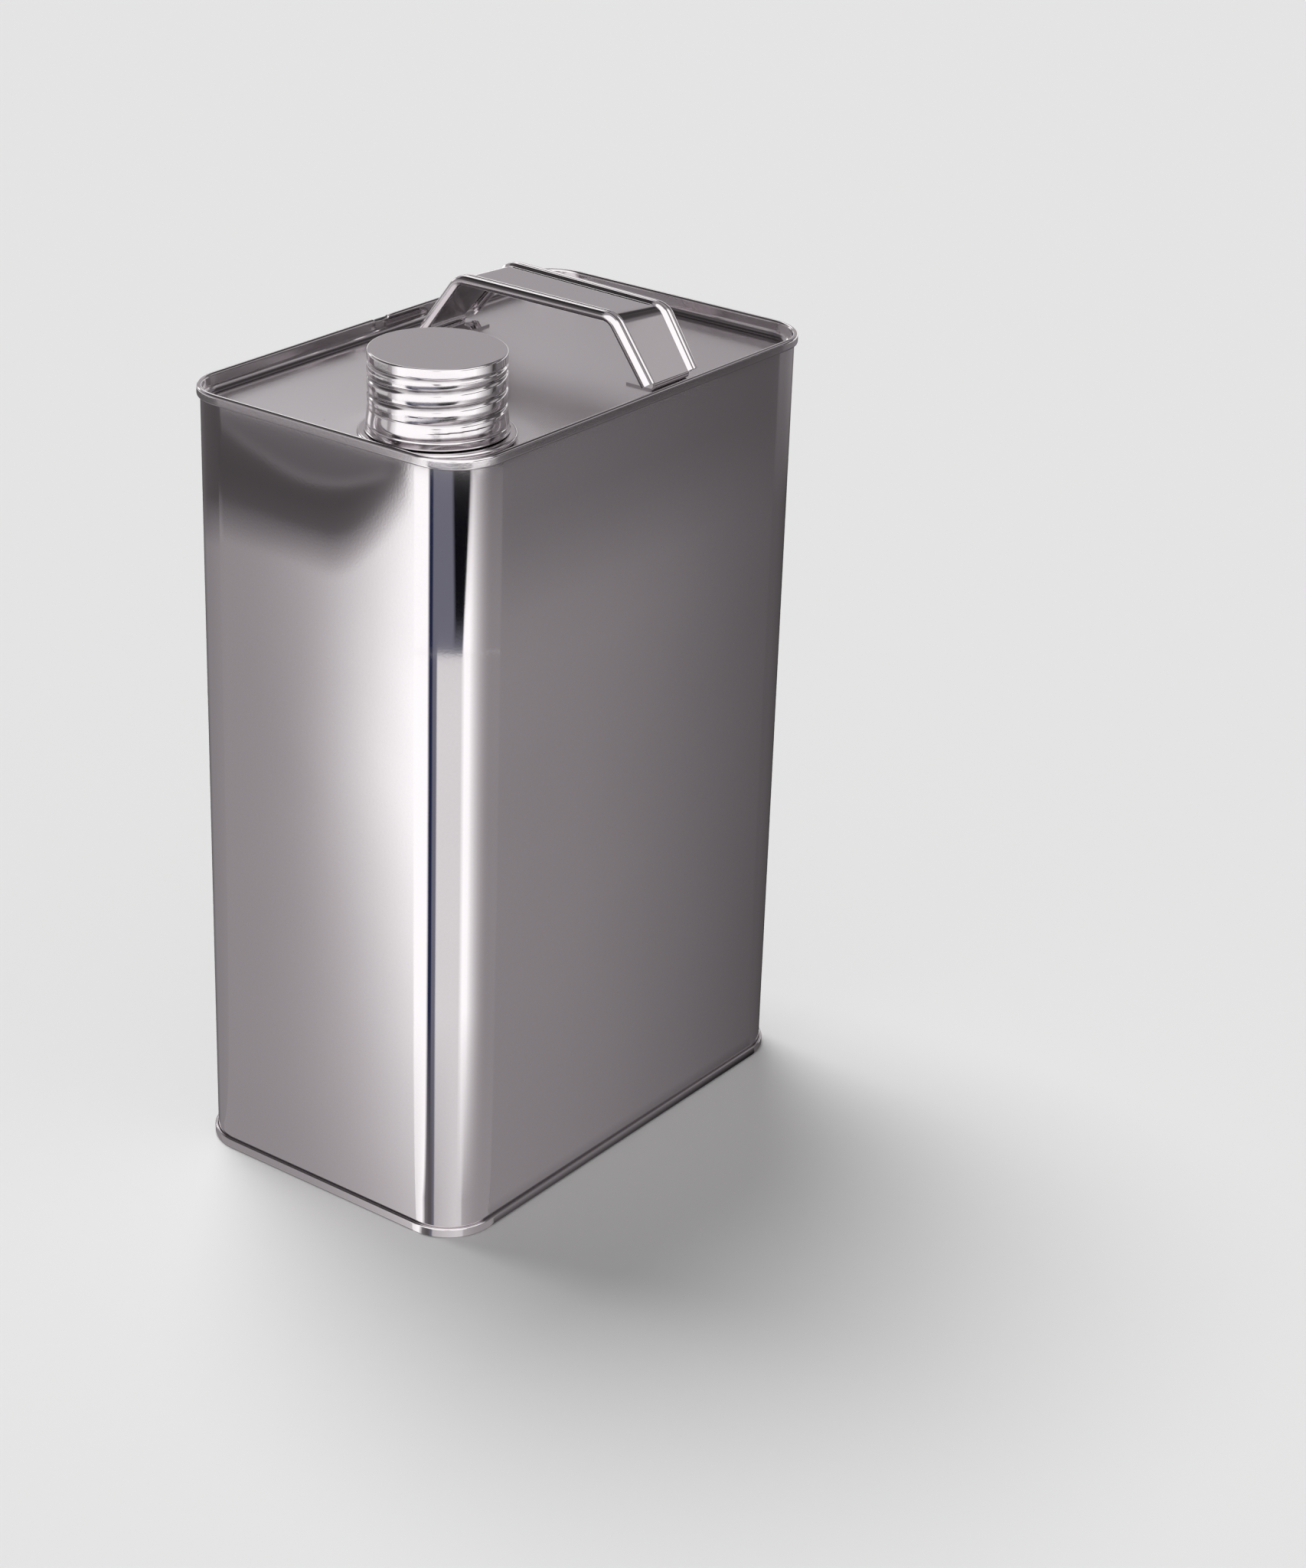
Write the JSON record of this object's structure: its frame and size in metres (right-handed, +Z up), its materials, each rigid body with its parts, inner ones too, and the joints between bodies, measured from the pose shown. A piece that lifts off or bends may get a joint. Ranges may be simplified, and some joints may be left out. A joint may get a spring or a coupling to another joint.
{
  "type": "rectangular tin can",
  "caption": "Upright rectangular tinplate can with double-seamed ends, rounded corners, a strap handle across the top and a threaded metal neck with a screw cap.",
  "frame": {"origin": "centre of the base, on the plane that the can stands on", "axes": "+Z up, X along the broad faces with the neck towards -X, Y across them with the plain front face at -Y and the side seam at +Y"},
  "size_m": [0.165, 0.104, 0.26],
  "materials": {
    "tinplate_body": "bright tinplate with a fine grain",
    "tinplate_end": "satin tinplate",
    "seam_compound": "cured sealing compound",
    "tinplate_neck": "bright tinplate",
    "gasket_rubber": "matt black rubber",
    "handle_steel": "bright tinned steel",
    "cap_metal": "satin top and bright rolled skirt",
    "liner_foam": "white foamed plastic"
  },
  "bodies": {
    "can": {"body": "tinplate_body", "top_end": "tinplate_end", "bottom_end": "tinplate_end", "top_seam_compound": "seam_compound", "bottom_seam_compound": "seam_compound", "neck": "tinplate_neck", "neck_gasket": "gasket_rubber", "handle": "handle_steel"},
    "liner": {"cap_liner": "liner_foam"},
    "cap": {"screw_cap": "cap_metal"}
  },
  "joints": [
    {"name": "cap_lift", "type": "slide", "parent": "can", "child": "liner", "axis": [0, 0, 1], "range_m": [0, 0.018]},
    {"name": "cap_turn", "type": "hinge", "parent": "liner", "child": "cap", "pos_m": [-0.0564, -0.0217, 0.248], "axis": [0, 0, 1], "range_deg": [0, 1440]}
  ],
  "couplings": [
    {"joint": "cap_lift", "follows": "cap_turn", "m_per_rad": 0.0007162}
  ]
}
